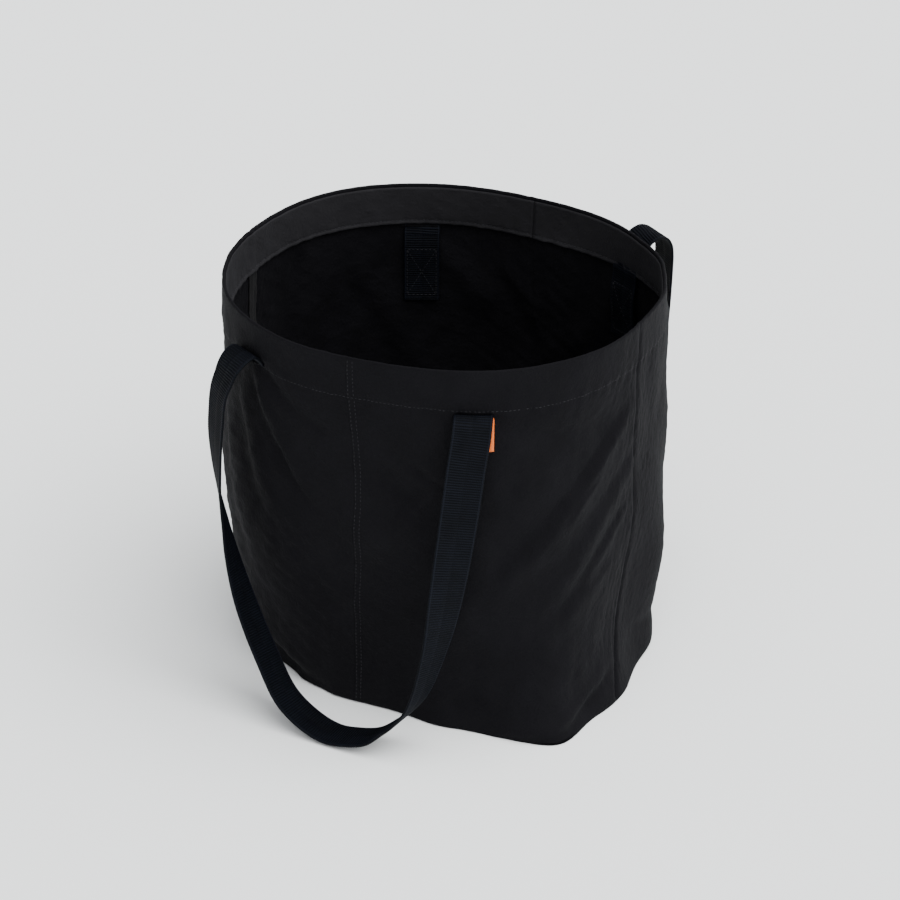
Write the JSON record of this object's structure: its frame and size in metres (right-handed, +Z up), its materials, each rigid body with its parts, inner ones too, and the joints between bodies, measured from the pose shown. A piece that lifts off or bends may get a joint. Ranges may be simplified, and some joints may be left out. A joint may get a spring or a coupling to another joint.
{
  "type": "foldable tote bag",
  "caption": "Open-topped foldable fabric tote with a boxed base, a wide stitched hem and two long ribbed webbing handles that pass through slots in the wall.",
  "frame": {"origin": "on the floor, under the middle of the mouth", "axes": "+Z up through the mouth, -Y to the front of the bag, +X to its right as seen from the front"},
  "size_m": [0.3852, 0.4723, 0.337],
  "materials": {
    "body_cloth": "matt, fine crinkled plain weave, near black",
    "hem_cloth": "matt, fine plain weave, near black",
    "seam_tape": "matt, fine ribbed tape",
    "thread": "twisted thread, near black",
    "webbing": "ribbed webbing, blue-black, soft sheen",
    "orange_tab": "smooth woven orange ribbon"
  },
  "bodies": {
    "bag": {"front_left_panel": "body_cloth", "front_right_panel": "body_cloth", "back_left_panel": "body_cloth", "back_right_panel": "body_cloth", "left_hem_band": "hem_cloth", "right_hem_band": "hem_cloth", "left_side_binding": "seam_tape", "right_side_binding": "seam_tape", "bottom_binding": "seam_tape", "left_corner_binding": "seam_tape", "right_corner_binding": "seam_tape", "hem_stitching": "thread", "front_centre_stitching": "thread", "back_centre_stitching": "thread", "back_handle_left_end": "webbing", "back_handle_right_end": "webbing"},
    "front_face": {"front_handle_left_end": "webbing", "front_handle_right_end": "webbing", "side_tab": "orange_tab"},
    "front_handle": {"front_handle": "webbing"},
    "back_handle": {"back_handle": "webbing"}
  },
  "joints": [
    {"name": "fold_flat", "type": "slide", "parent": "bag", "child": "front_face", "axis": [0, 1, 0], "range_m": [0, 0.255], "deforming": ["front_left_panel", "front_right_panel", "back_left_panel", "back_right_panel", "left_hem_band", "right_hem_band", "left_side_binding", "right_side_binding", "bottom_binding", "left_corner_binding", "right_corner_binding", "hem_stitching", "front_centre_stitching", "back_centre_stitching"]},
    {"name": "front_handle_swing", "type": "hinge", "parent": "front_face", "child": "front_handle", "pos_m": [0, -0.15613, 0.296], "axis": [-1, 0, 0], "range_deg": [0, 150]},
    {"name": "back_handle_swing", "type": "hinge", "parent": "bag", "child": "back_handle", "pos_m": [0, 0.17019, 0.296], "axis": [1, 0, 0], "range_deg": [0, 150]}
  ]
}
